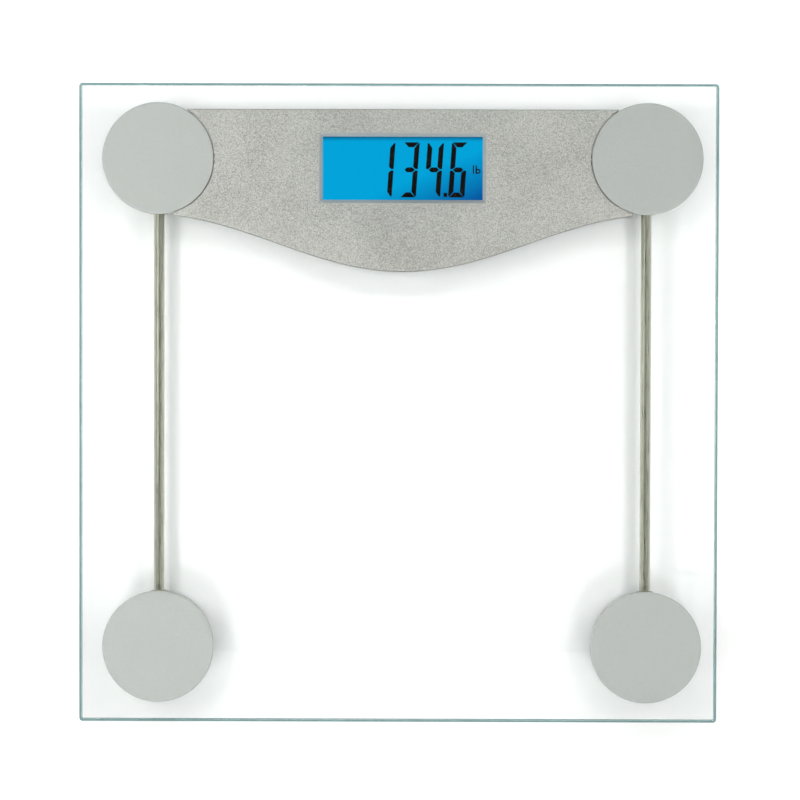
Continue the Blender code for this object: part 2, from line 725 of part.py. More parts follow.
def build_upper_shell():
    # rounded at both faces, then squared off at the parting so that only the top edge stays round
    upper = part(
        "upper_shell",
        plate_mesh(shell_outline(), parting_high - 2 * SHELL_EDGE, shell_top, SHELL_EDGE),
        "textured_silver",
    )
    below = box_mesh(
        (-foot_x, shell_front_y - CUT_PAST, parting_high - 3 * SHELL_EDGE),
        (foot_x, shell_back_y + CUT_PAST, parting_high),
    )
    cut(upper, "upper_underside", below)
    cut_cup_hollows(upper, "upper", shell_end_radius)
    hollow_out(upper, "upper", parting_high - CUT_PAST, plate_low)

    window = bmesh.new()
    window.from_mesh(box_mesh((-0.5, -0.5, 0), (0.5, 0.5, 1)))
    for corner in window.verts:
        # the walls slope evenly through the top plate and past it on both sides
        rise = WINDOW_SLOPE / SHELL_TOP
        high = corner.co.z > 0.5
        grow = 2 * (WINDOW_SLOPE + CUT_PAST * rise) if high else -2 * CUT_PAST * rise
        corner.co.x *= WINDOW_WIDTH + grow
        corner.co.y = window_y + corner.co.y * (WINDOW_HEIGHT + grow)
        corner.co.z = shell_top + CUT_PAST if high else plate_low - CUT_PAST
    cut(upper, "window", finished(window, "window", smooth=False))

    for i, (x, y) in enumerate(screw_places):
        post = cylinder_mesh(POST_RADIUS, parting_high, plate_low + SHELL_TOP / 2, (x, y), sides=16)
        add(upper, f"screw_post_{i}", post)
        pilot = cylinder_mesh(SCREW_SHANK + GAP, parting_high - CUT_PAST, screw_pilot_high, (x, y), sides=10)
        cut(upper, f"screw_pilot_{i}", pilot)
    for i, (x, y) in enumerate(board_screw_places):
        post = cylinder_mesh(BOARD_POST_RADIUS, board_high + GAP, plate_low + SHELL_TOP / 2, (x, y), sides=12)
        add(upper, f"board_post_{i}", post)
        pilot_high = plate_low - BOARD_PILOT_ROOF
        pilot = cylinder_mesh(BOARD_SCREW_RADIUS + GAP, board_high - CUT_PAST, pilot_high, (x, y), sides=8)
        cut(upper, f"board_pilot_{i}", pilot)
    for side in (-1, 1):
        wall_x = foot_x - shell_end_radius
        span = sorted((side * (wall_x + CUT_PAST), side * (wall_x - SHELL_WALL - CUT_PAST)))
        hole = cylinder_mesh(LEAD_HOLE_RADIUS, *span, (foot_y, lead_hole_z), "X", 16)
        cut(upper, f"shell_lead_hole_{side}", hole)


def build_lower_shell():
    lower = part("lower_shell", plate_mesh(shell_outline(), shell_bottom, parting_low), "grey_plastic")
    cut_cup_hollows(lower, "lower", shell_end_radius)
    hollow_out(lower, "lower", floor_top, parting_low + CUT_PAST)

    bay = box_mesh(
        (-bay_half - BAY_WALL, bay_front - BAY_WALL, shell_bottom + SHELL_FLOOR / 2),
        (bay_half + BAY_WALL, bay_back + BAY_WALL, bay_roof_high),
    )
    block = helper("bay_block", bay)
    room = plate_mesh(shell_outline(SHELL_WALL + GAP), shell_bottom, bay_roof_high + CUT_PAST)
    combine(block, helper("bay_room", room), "INTERSECT")
    combine(lower, block, "UNION")
    bay_space = box_mesh((-bay_half, bay_front, shell_bottom - CUT_PAST), (bay_half, bay_back, bay_roof_low))
    cut(lower, "bay_space", bay_space)
    pin_reach = bay_half + DOOR_PIN_LENGTH + DOOR_GAP
    pin_bore = cylinder_mesh(DOOR_PIN + DOOR_PIN_GAP, -pin_reach, pin_reach, (hinge_y, hinge_z), "X", 16)
    cut(lower, "door_pin_bore", pin_bore)
    for colour, place in (("red", (battery_ys[0], red_wire_z)), ("black", (battery_ys[1], black_wire_z))):
        hole = cylinder_mesh(WIRE_HOLE, bay_half - CUT_PAST, bay_half + BAY_WALL + CUT_PAST, place, "X", 12)
        cut(lower, f"{colour}_wire_hole", hole)

    for i, (x, y) in enumerate(screw_places):
        boss_radius = POST_RADIUS + SCREW_BOSS_EXTRA
        boss = cylinder_mesh(boss_radius, shell_bottom + SHELL_FLOOR / 2, parting_low, (x, y), sides=16)
        add(lower, f"screw_boss_{i}", boss)
        sink_high = screw_head_high + GAP
        head = cylinder_mesh(SCREW_HEAD + GAP, shell_bottom - CUT_PAST, sink_high, (x, y), sides=16)
        cut(lower, f"screw_sink_{i}", head)
        way = cylinder_mesh(SCREW_SHANK + GAP, shell_bottom, parting_low + CUT_PAST, (x, y), sides=10)
        cut(lower, f"screw_way_{i}", way)
    hole = cylinder_mesh(BUTTON_RADIUS + GAP, shell_bottom - CUT_PAST, floor_top + CUT_PAST, button_place)
    cut(lower, "button_hole", hole)


def screw(name, place, low, shank, head, head_height, length):
    """A pan-head screw that goes in from below, with a cross recess in its head."""
    x, y = place
    holder = empty(f"{name}_axis", (x, y, low))
    holder.parent = frame
    made = turned(
        name,
        [
            (0, head_height + length),
            (shank, head_height + length - shank),
            (shank, head_height),
            (head, head_height),
            (head, 0.35 * head_height),
            (head * 0.8, 0),
            (0, 0),
        ],
        "nickel",
        holder,
        sides=12,
    )
    # the recess as shares of the head's own size
    depth = head_height * 0.6
    slot = head * 0.12
    arm = head * 0.55
    cross = helper(f"{name}_recess_x", box_mesh((-arm, -slot, -depth), (arm, slot, depth)), holder)
    second = helper(f"{name}_recess_y", box_mesh((-slot, -arm, -depth), (slot, arm, depth)), holder)
    combine(cross, second, "UNION")
    combine(made, cross, "DIFFERENCE")


def build_screws():
    for i, place in enumerate(screw_places):
        screw(
            f"shell_screw_{i + 1}",
            place,
            shell_bottom + SCREW_SINK,
            SCREW_SHANK,
            SCREW_HEAD,
            SCREW_HEAD_HEIGHT,
            screw_length,
        )
    for i, place in enumerate(board_screw_places):
        screw(
            f"board_screw_{i + 1}",
            place,
            board_low - GAP - BOARD_SCREW_HEAD_HEIGHT,
            BOARD_SCREW_RADIUS,
            BOARD_SCREW_HEAD,
            BOARD_SCREW_HEAD_HEIGHT,
            BOARD_SCREW_LENGTH,
        )


def build_door():
    """The battery door turns on two pins at its back edge. Two slits free its latch at the front."""
    hinge = empty("battery_door_axis", (0, hinge_y, hinge_z))
    hinge.parent = frame
    down = shell_bottom - hinge_z
    front = door_front - hinge_y
    door = part(
        "battery_door",
        box_mesh((-door_half, front, down), (door_half, -DOOR_BARREL * 0.3, down + SHELL_FLOOR)),
        "grey_plastic",
        hinge,
    )
    barrel = cylinder_mesh(DOOR_BARREL, -door_half, door_half, (0, 0), "X", 20)
    add(door, "door_barrel", barrel, hinge)
    reach = bay_half + DOOR_PIN_LENGTH
    add(door, "door_pins", cylinder_mesh(DOOR_PIN, -reach, reach, (0, 0), "X", 16), hinge)
    ridge = box_mesh(
        (-LATCH_WIDTH / 2 + LATCH_SLIT, front, down + SHELL_FLOOR / 2),
        (LATCH_WIDTH / 2 - LATCH_SLIT, front + LATCH_RIDGE_WIDTH, down + SHELL_FLOOR + LATCH_RIDGE),
    )
    add(door, "latch_ridge", ridge, hinge)
    for side in (-1, 1):
        xs = sorted((side * LATCH_WIDTH / 2, side * (LATCH_WIDTH / 2 + LATCH_SLIT)))
        slit_high = down + SHELL_FLOOR + CUT_PAST
        slit = box_mesh((xs[0], front - CUT_PAST, down - CUT_PAST), (xs[1], front + LATCH_DEPTH, slit_high))
        cut(door, f"latch_slit_{side}", slit, hinge)
    grip = cylinder_mesh(GRIP_RADIUS, down - CUT_PAST, down + GRIP_DEPTH, (0, front + GRIP_INSET))
    cut(door, "finger_grip", grip, hinge)


# --- display and board ---
def build_display():
    part("lcd_panel", box_mesh((-lcd_half, lcd_front, lcd_low), (lcd_half, lcd_back, lcd_high)), "lcd_blue")
    part(
        "backlight",
        box_mesh(
            (-lcd_half, lcd_front, backlight_low),
            (lcd_half, strip_front - GAP, backlight_high),
        ),
        "backlight_white",
    )
    part(
        "lcd_contact_strip",
        box_mesh(
            (-WINDOW_WIDTH / 2, strip_front, board_high + GAP),
            (WINDOW_WIDTH / 2, strip_front + STRIP_WIDTH, lcd_low - GAP),
        ),
        "black_resin",
    )
    board = part(
        "circuit_board",
        box_mesh((-board_half, board_front, board_low), (board_half, board_back, board_high)),
        "board_green",
    )
    for i, (x, y) in enumerate(board_screw_places):
        low, high = board_low - CUT_PAST, board_high + CUT_PAST
        hole = cylinder_mesh(BOARD_SCREW_RADIUS + GAP, low, high, (x, y), sides=10)
        cut(board, f"board_hole_{i}", hole)
    chip = empty("chip_axis", (CHIP_X, foot_y, 0))
    chip.parent = frame
    chip_top = board_low - GAP
    turned(
        "controller_chip",
        [
            (0, chip_top),
            (CHIP_RADIUS, chip_top),
            *[
                (CHIP_RADIUS * math.cos(math.radians(a)), chip_top - CHIP_HEIGHT * math.sin(math.radians(a)))
                for a in (20, 40, 60, 75)
            ],
            (0, chip_top - CHIP_HEIGHT),
        ],
        "black_resin",
        chip,
        sides=24,
    )
    x, y = button_place
    half = SWITCH_SIDE / 2
    body = box_mesh((x - half, y - half, switch_low), (x + half, y + half, board_low - GAP))
    switch = part("unit_switch", body, "black_resin")
    plunger_high = switch_low + SWITCH_BODY / 2
    plunger = cylinder_mesh(SWITCH_PLUNGER_RADIUS, plunger_low, plunger_high, (x, y), sides=16)
    add(switch, "switch_plunger", plunger)


def build_button():
    """A flat push button, held by its flange inside the lower shell."""
    axis = empty("unit_button_axis", (*button_place, 0))
    axis.parent = frame
    turned(
        "unit_button",
        [
            (0, button_high),
            (BUTTON_RADIUS + BUTTON_FLANGE, button_high),
            (BUTTON_RADIUS + BUTTON_FLANGE, button_flange_low),
            (BUTTON_RADIUS, button_flange_low),
            (BUTTON_RADIUS, button_low + BUTTON_CHAMFER),
            (BUTTON_RADIUS - BUTTON_CHAMFER, button_low),
            (0, button_low),
        ],
        "black_resin",
        axis,
        sides=24,
    )


# --- batteries ---
def build_battery(name, y, facing):
    """An AAA cell along X. facing is 1 when its nub points right."""
    wall = bay_half - GAP - CONTACT_THICK - GAP
    axis = empty(f"{name}_axis", (facing * wall, y, battery_z))
    axis.parent = frame
    axis.rotation_euler = (0, facing * math.radians(90), 0)
    turned(
        name,
        [
            (0, 0),
            (BATTERY_NUB_RADIUS, 0),
            (BATTERY_NUB_RADIUS, -BATTERY_NUB),
            (BATTERY_RADIUS - BATTERY_EDGE, -BATTERY_NUB),
            (BATTERY_RADIUS, -BATTERY_NUB - BATTERY_EDGE),
            (BATTERY_RADIUS, -BATTERY_LENGTH + BATTERY_EDGE),
            (BATTERY_RADIUS - BATTERY_EDGE, -BATTERY_LENGTH),
            (0, -BATTERY_LENGTH),
        ],
        "battery_wrap",
        axis,
        sides=24,
    )


def build_contacts():
    """Nub-side plates, the link that joins the two cells on the left, and the conical springs."""
    high = battery_z + CONTACT_HEIGHT / 2
    low = battery_z - CONTACT_HEIGHT / 2
    outer = bay_half - GAP
    inner = outer - CONTACT_THICK
    half = CONTACT_WIDTH / 2
    for name, y in (("positive_contact", battery_ys[0]), ("negative_contact", battery_ys[1])):
        part(name, box_mesh((inner, y - half, low), (outer, y + half, high)), "nickel")
    part(
        "link_contact",
        box_mesh((-outer, battery_ys[0] - half, low), (-inner, battery_ys[1] + half, high)),
        "nickel",
    )
    for name, side, y in (("left_spring", -1, battery_ys[0]), ("right_spring", 1, battery_ys[1])):
        steps = SPRING_TURNS * SPRING_STEPS
        start = inner - GAP - SPRING_WIRE
        travel = SPRING_LENGTH - 2 * GAP - 2 * SPRING_WIRE
        coil = []
        for i in range(steps + 1):
            share = i / steps
            radius = SPRING_WIDE + (SPRING_NARROW - SPRING_WIDE) * share
            turn = 2 * math.pi * SPRING_TURNS * share
            x = side * (start - travel * share)
            coil.append((x, y + radius * math.cos(turn), battery_z + radius * math.sin(turn)))
        rod_part(name, coil, SPRING_WIRE, "nickel", resolution=1)


def build_wires():
    """Red from the positive contact and black from the negative one, both to the board's underside."""
    start = bay_half + WIRE_TO_CONTACT
    wall = bay_half + BAY_WALL
    board_z = board_low - GAP - WIRE_RADIUS
    red = [
        (start, battery_ys[0], red_wire_z),
        (wall + 0.6 * MM, battery_ys[0], red_wire_z),
        (wall + 2.2 * MM, battery_ys[0] + 3 * MM, red_wire_z),
        (wall + 2.3 * MM, battery_ys[1], red_wire_z),
        (wall + 2.3 * MM, board_front - 3 * MM, board_z - 0.8 * MM),
        (wall + 2.3 * MM, board_front + 4 * MM, board_z),
    ]
    black = [
        (start, battery_ys[1], black_wire_z),
        (wall + 2 * MM, battery_ys[1] + 0.2 * MM, black_wire_z),
        (wall + 4.6 * MM, battery_ys[1] + 3 * MM, black_wire_z - 1.2 * MM),
        (wall + 5 * MM, board_front - 2 * MM, board_z - 0.6 * MM),
        (wall + 5 * MM, board_front + 3.5 * MM, board_z),
    ]
    rod_part("red_wire", smooth_route(red, 2 * MM), WIRE_RADIUS, "wire_red", resolution=1)
    rod_part("black_wire", smooth_route(black, 2 * MM), WIRE_RADIUS, "wire_black", resolution=1)


build_glass()
for unit, side, end in (
    ("toe_left", -1, 1),
    ("toe_right", 1, 1),
    ("heel_left", -1, -1),
    ("heel_right", 1, -1),
):
    build_foot_unit(unit, side, end)
for hand, side in (("left", -1), ("right", 1)):
    build_tube(hand, side)
    build_leads(hand, side)
build_upper_shell()
build_lower_shell()
build_screws()
build_door()
build_display()
build_button()
build_battery("front_battery", battery_ys[0], 1)
build_battery("back_battery", battery_ys[1], -1)
build_contacts()
build_wires()
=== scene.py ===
import math

import bpy
import numpy as np
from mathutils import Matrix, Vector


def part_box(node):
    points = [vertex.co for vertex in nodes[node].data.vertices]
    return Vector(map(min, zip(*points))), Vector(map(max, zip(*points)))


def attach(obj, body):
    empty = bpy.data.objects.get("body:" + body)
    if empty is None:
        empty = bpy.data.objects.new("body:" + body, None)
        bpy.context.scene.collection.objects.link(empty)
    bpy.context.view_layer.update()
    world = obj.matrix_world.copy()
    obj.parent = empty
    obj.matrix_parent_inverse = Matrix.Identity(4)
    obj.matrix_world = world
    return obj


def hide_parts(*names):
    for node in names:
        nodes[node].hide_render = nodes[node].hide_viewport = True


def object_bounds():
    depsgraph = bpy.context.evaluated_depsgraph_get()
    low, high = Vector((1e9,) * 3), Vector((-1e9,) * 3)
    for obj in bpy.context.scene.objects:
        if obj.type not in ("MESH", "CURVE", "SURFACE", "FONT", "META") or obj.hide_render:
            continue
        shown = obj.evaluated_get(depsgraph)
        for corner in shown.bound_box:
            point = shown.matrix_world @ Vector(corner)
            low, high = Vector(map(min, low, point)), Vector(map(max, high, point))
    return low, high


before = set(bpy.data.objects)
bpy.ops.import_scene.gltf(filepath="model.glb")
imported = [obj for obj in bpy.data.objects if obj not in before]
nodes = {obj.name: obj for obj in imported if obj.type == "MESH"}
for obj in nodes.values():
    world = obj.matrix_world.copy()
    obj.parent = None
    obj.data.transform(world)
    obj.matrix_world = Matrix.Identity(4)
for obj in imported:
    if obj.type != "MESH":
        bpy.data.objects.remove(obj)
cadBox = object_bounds()
feet = ["toe_left", "toe_right", "heel_left", "heel_right"]
mm = 0.001
print("frame loaded:", len(nodes), "CAD nodes")


def circleOf(count):
    # unit circle, anticlockwise from +X, one row (x, y) a point
    turn = np.linspace(0, 2 * np.pi, count, endpoint=False)
    return np.stack([np.cos(turn), np.sin(turn)], axis=1)


def easedLine(corners, reach, steps=5):
    # each inner corner of a line is swapped for a short parabola: (1-s)^2 A + 2s(1-s) P + s^2 B,
    # where A and B lie `reach` before and after the corner P, but never as far as half a side
    points = np.asarray(corners, float)
    s = np.linspace(0, 1, steps)[:, None]
    mostOfSide = 0.45
    parts = [points[:1]]
    for before, corner, after in zip(points[:-2], points[1:-1], points[2:]):
        back, on = before - corner, after - corner
        lenBack, lenOn = np.linalg.norm(back), np.linalg.norm(on)
        a = corner + back / lenBack * min(reach, mostOfSide * lenBack)
        b = corner + on / lenOn * min(reach, mostOfSide * lenOn)
        parts.append((1 - s) ** 2 * a + 2 * s * (1 - s) * corner + s ** 2 * b)
    return np.concatenate(parts + [points[-1:]])


def skin(name, rings, finishes, ends="shut", sharpDeg=32, bandFinish=None):
    # joins a stack of closed rings, an array (ring, point, xyz), into one surface. Rings run anticlockwise
    # seen from above and climb, which turns the faces outwards. ends: "shut" closes the first and last ring
    # with a fan to its middle, "joined" runs the last ring back into the first, as on a tube with a wall
    rings = np.asarray(rings, float)
    rows, columns, _ = rings.shape
    index = np.arange(rows * columns).reshape(rows, columns)
    low = index if ends == "joined" else index[:-1]
    high = np.roll(index, -1, axis=0) if ends == "joined" else index[1:]
    quads = np.stack([low, np.roll(low, -1, 1), np.roll(high, -1, 1), high], axis=2).reshape(-1, 4)
    points = rings.reshape(-1, 3)
    faces = quads.tolist()
    bandOf = np.repeat(np.arange(len(low)), columns)
    if ends == "shut":
        first, last = index[0], index[-1]
        poles = np.stack([rings[0].mean(0), rings[-1].mean(0)])
        bottom = np.stack([np.full(columns, len(points)), np.roll(first, -1), first], axis=1)
        top = np.stack([np.full(columns, len(points) + 1), last, np.roll(last, -1)], axis=1)
        points = np.concatenate([points, poles])
        faces += bottom.tolist() + top.tolist()
        bandOf = np.concatenate([bandOf, np.full(columns, -1), np.full(columns, len(low))])
    mesh = bpy.data.meshes.new(name)
    mesh.from_pydata(points.tolist(), [], faces)
    mesh.polygons.foreach_set("use_smooth", np.ones(len(faces), bool))
    for finish in finishes:
        mesh.materials.append(finish)
    if bandFinish is not None:
        mesh.polygons.foreach_set("material_index", bandFinish(bandOf).astype(np.int32))
    mesh.set_sharp_from_angle(angle=math.radians(sharpDeg))
    mesh.update()
    piece = bpy.data.objects.new(name, mesh)
    bpy.context.scene.collection.objects.link(piece)
    return piece


def plateRings(outline, outward, profile):
    # profile rows are (inset, z): the outline is drawn in along its own normals by the inset, at height z
    profile = np.asarray(profile, float)
    flat = outline[None] - outward[None] * profile[:, None, :1]
    height = np.broadcast_to(profile[:, 1][:, None, None], (len(profile), len(outline), 1))
    return np.concatenate([flat, height], axis=2)


def turnedRings(profile, centre, sides):
    # profile rows are (radius, z), carried round the upright line through centre
    profile = np.asarray(profile, float)
    ring = circleOf(sides)
    flat = profile[:, None, :1] * ring[None] + np.asarray(centre, float)[:2]
    height = np.broadcast_to(profile[:, 1][:, None, None], (len(profile), sides, 1))
    return np.concatenate([flat, height], axis=2)


def roundedSquare(low, high, radius, cornerSteps, sideSteps):
    # a rectangle's outline with quarter-circle corners, and the outward normal at every point
    low, high = np.asarray(low, float), np.asarray(high, float)
    parts, normals = [], []
    middles = [(high[0] - radius, high[1] - radius), (low[0] + radius, high[1] - radius),
               (low[0] + radius, low[1] + radius), (high[0] - radius, low[1] + radius)]
    for k, middle in enumerate(middles):
        turn = np.pi / 2 * (k + np.linspace(0, 1, cornerSteps))
        ray = np.stack([np.cos(turn), np.sin(turn)], axis=1)
        arc = np.asarray(middle) + radius * ray
        nextTurn = np.pi / 2 * (k + 1)
        nextMiddle = np.asarray(middles[(k + 1) % 4])
        reachTo = nextMiddle + radius * np.array([np.cos(nextTurn), np.sin(nextTurn)])
        share = np.linspace(0, 1, sideSteps + 2)[1:-1, None]
        parts += [arc, arc[-1] + (reachTo - arc[-1]) * share]
        normals += [ray, np.repeat(ray[-1:], sideSteps, axis=0)]
    return np.concatenate(parts), np.concatenate(normals)


def linear(code):
    # sRGB hex to linear light
    parts = [int(code[i:i + 2], 16) / 255 for i in (1, 3, 5)]
    return tuple(c / 12.92 if c <= 0.04045 else ((c + 0.055) / 1.055) ** 2.4 for c in parts) + (1.0,)


def addNode(tree, kind, settings=None, links=None):
    # settings named like the node's own fields go there, the others to its sockets; links feed sockets.
    # "stops" are the two (place, colour) ends of a colour ramp
    node = tree.nodes.new(kind)
    for key, value in (settings or {}).items():
        if key == "stops":
            for element, (place, colour) in zip(node.color_ramp.elements, value):
                element.position, element.color = place, linear(colour)
        elif isinstance(key, str) and hasattr(node, key):
            setattr(node, key, value)
        else:
            node.inputs[key].default_value = value
    for key, source in (links or {}).items():
        tree.links.new(source, node.inputs[key])
    return node


def newFinish(name, stretch=(1, 1, 1)):
    # an empty finish, and the place its patterns are read at: metres in the piece's own frame, stretched
    finish = bpy.data.materials.new(name)
    finish.use_nodes = True
    tree = finish.node_tree
    tree.nodes.clear()
    where = addNode(tree, "ShaderNodeTexCoord")
    place = addNode(tree, "ShaderNodeMapping", {"Scale": stretch}, {"Vector": where.outputs["Object"]})
    return finish, tree, place.outputs[0]


grainPattern = {
    "cloudShare": 0.3,           # of the coarse cloud, added to the grain
    "colourSpan": (0.45, 0.85),  # of both together, from the dark colour to the light one
    "roughSpan": (0.35, 0.75),   # of the grain alone, from the smoother value to the rougher one
    "bumpStrength": 0.5,
}


def grained(name, look):
    # a solid finish with a fine grain: grain size and bump height in mm, colours from dark to light.
    # a second, coarser cloud, 25 mm unless the look says, shifts the colour a little, as moulding flow does
    finish, tree, place = newFinish(name, look.get("stretch", (1, 1, 1)))
    grain = addNode(tree, "ShaderNodeTexNoise",
                    {"Scale": 1 / (look["grain"] * mm), "Detail": 3.0, "Roughness": 0.6},
                    {"Vector": place}).outputs[0]
    cloud = addNode(tree, "ShaderNodeTexNoise", {"Scale": 1 / (look.get("cloud", 25) * mm), "Detail": 2.0},
                    {"Vector": place}).outputs[0]
    both = addNode(tree, "ShaderNodeMath", {"operation": "MULTIPLY_ADD", 1: grainPattern["cloudShare"]},
                   {0: cloud, 2: grain}).outputs[0]
    low, high = grainPattern["colourSpan"]
    colour = addNode(tree, "ShaderNodeValToRGB", {"stops": [(low, look["dark"]), (high, look["light"])]},
                     {0: both}).outputs[0]
    low, high = grainPattern["roughSpan"]
    smooth, coarse = look["roughness"]
    rough = addNode(tree, "ShaderNodeMapRange", {1: low, 2: high, 3: smooth, 4: coarse},
                    {0: grain}).outputs[0]
    bump = addNode(tree, "ShaderNodeBump",
                   {"Strength": grainPattern["bumpStrength"], "Distance": look["bump"] * mm},
                   {"Height": grain}).outputs[0]
    shader = addNode(tree, "ShaderNodeBsdfPrincipled",
                     {"Metallic": look.get("metal", 0.0), "Coat Weight": look.get("coat", 0.0),
                      "Coat Roughness": 0.25},
                     {"Base Color": colour, "Roughness": rough, "Normal": bump})
    addNode(tree, "ShaderNodeOutputMaterial", None, {"Surface": shader.outputs[0]})
    return finish


floatGlassLook = {
    "tint": "#FEFFFF",
    "shadow": "#F8F8F8",   # what lamp light keeps as it comes through
    "smear": 60,           # mm, size of the patches that a wiping cloth leaves
    "smeared": 0.02,       # their roughness
}


def floatGlass(look):
    # clear float glass: flat, bright, a breath of green, and lamps shine through it without a dark shadow
    finish, tree, place = newFinish("clearFloatGlass")
    smear = addNode(tree, "ShaderNodeTexNoise", {"Scale": 1 / (look["smear"] * mm), "Detail": 3.0},
                    {"Vector": place}).outputs[0]
    rough = addNode(tree, "ShaderNodeMapRange", {1: 0.4, 2: 0.8, 3: 0.0, 4: look["smeared"]},
                    {0: smear}).outputs[0]
    glass = addNode(tree, "ShaderNodeBsdfGlass", {"IOR": 1.52, "Color": linear(look["tint"])},
                    {"Roughness": rough})
    through = addNode(tree, "ShaderNodeBsdfTransparent", {"Color": linear(look["shadow"])})
    ray = addNode(tree, "ShaderNodeLightPath")
    mix = addNode(tree, "ShaderNodeMixShader", None,
                  {0: ray.outputs["Is Shadow Ray"], 1: glass.outputs[0], 2: through.outputs[0]})
    addNode(tree, "ShaderNodeOutputMaterial", None, {"Surface": mix.outputs[0]})
    return finish


glassEdgeLook = {
    "dark": "#558585",   # where the wheel left it greyer
    "light": "#649393",
    "shadow": "#F0F6F5",
    "patch": 9,          # mm, size of the patches along the edge
    "roughness": (0.2, 0.26),
}


def groundGlassEdge(look):
    # ground and polished edge of the sheet: teal, because light there has crossed a long way of glass
    finish, tree, place = newFinish("groundGlassEdge")
    patch = addNode(tree, "ShaderNodeTexNoise", {"Scale": 1 / (look["patch"] * mm), "Detail": 1.0},
                    {"Vector": place}).outputs[0]
    colour = addNode(tree, "ShaderNodeValToRGB", {"stops": [(0.3, look["dark"]), (0.7, look["light"])]},
                     {0: patch}).outputs[0]
    smooth, coarse = look["roughness"]
    rough = addNode(tree, "ShaderNodeMapRange", {1: 0.3, 2: 0.7, 3: smooth, 4: coarse},
                    {0: patch}).outputs[0]
    shader = addNode(tree, "ShaderNodeBsdfPrincipled",
                     {"IOR": 1.52, "Transmission Weight": 0.25, "Coat Weight": 0.2, "Coat Roughness": 0.2},
                     {"Base Color": colour, "Roughness": rough})
    through = addNode(tree, "ShaderNodeBsdfTransparent", {"Color": linear(look["shadow"])})
    ray = addNode(tree, "ShaderNodeLightPath")
    mix = addNode(tree, "ShaderNodeMixShader", None,
                  {0: ray.outputs["Is Shadow Ray"], 1: shader.outputs[0], 2: through.outputs[0]})
    addNode(tree, "ShaderNodeOutputMaterial", None, {"Surface": mix.outputs[0]})
    return finish


shellLook = {
    "dark": "#8A8983",
    "light": "#C8C7C0",
    "paintedEdgeShade": "#4C4D4A",   # painted shade: a fine dark line along the rounded upper edges
    "grain": 0.55,       # mm. The mould's grain is nearer 0.3; it is drawn coarser so that it shows
    "bump": 0.05,        # mm
    "cloud": 28,         # mm, slow change where the spray lay thicker
    "roughness": (0.4, 0.6),
}


def sandTexturedSilverPaint(look):
    # silver paint over a spark-eroded mould face: sandy, each grain catches light by itself. A fine dark
    # line of painted shade runs over the rounded upper edges
    finish, tree, place = newFinish("sandTexturedSilverPaint")
    grain = addNode(tree, "ShaderNodeTexNoise", {"Scale": 1 / (look["grain"] * mm), "Detail": 2.0},
                    {"Vector": place}).outputs[0]
    cloud = addNode(tree, "ShaderNodeTexNoise", {"Scale": 1 / (look["cloud"] * mm), "Detail": 2.0},
                    {"Vector": place}).outputs[0]
    both = addNode(tree, "ShaderNodeMath", {"operation": "MULTIPLY_ADD", 1: 0.25},
                   {0: cloud, 2: grain}).outputs[0]
    paint = addNode(tree, "ShaderNodeValToRGB", {"stops": [(0.4, look["dark"]), (0.85, look["light"])]},
                    {0: both}).outputs[0]
    facing = addNode(tree, "ShaderNodeSeparateXYZ", None,
                     {0: addNode(tree, "ShaderNodeNewGeometry").outputs["Normal"]}).outputs[2]
    # facing is 1 on the top and 0 on upright walls: the painted shade comes in as the edge rounds over, not
    # lower down
    rounded = addNode(tree, "ShaderNodeMapRange", {1: 0.9, 2: 0.5, 3: 0.0, 4: 0.9}, {0: facing}).outputs[0]
    notWall = addNode(tree, "ShaderNodeMapRange", {1: 0.05, 2: 0.2, 3: 0.1, 4: 1.0}, {0: facing}).outputs[0]
    edgeShadeMask = addNode(tree, "ShaderNodeMath", {"operation": "MULTIPLY"}, {0: rounded, 1: notWall}).outputs[0]
    # mixes the painted edge shade into the paint's colour
    colour = addNode(tree, "ShaderNodeMix", {"data_type": "RGBA", 7: linear(look["paintedEdgeShade"])},
                     {0: edgeShadeMask, 6: paint}).outputs[2]
    smooth, coarse = look["roughness"]
    rough = addNode(tree, "ShaderNodeMapRange", {1: 0.35, 2: 0.7, 3: smooth, 4: coarse},
                    {0: grain}).outputs[0]
    bump = addNode(tree, "ShaderNodeBump", {"Strength": 0.8, "Distance": look["bump"] * mm},
                   {"Height": grain}).outputs[0]
    shader = addNode(tree, "ShaderNodeBsdfPrincipled", {"Metallic": 0.2},
                     {"Base Color": colour, "Roughness": rough, "Normal": bump})
    addNode(tree, "ShaderNodeOutputMaterial", None, {"Surface": shader.outputs[0]})
    return finish


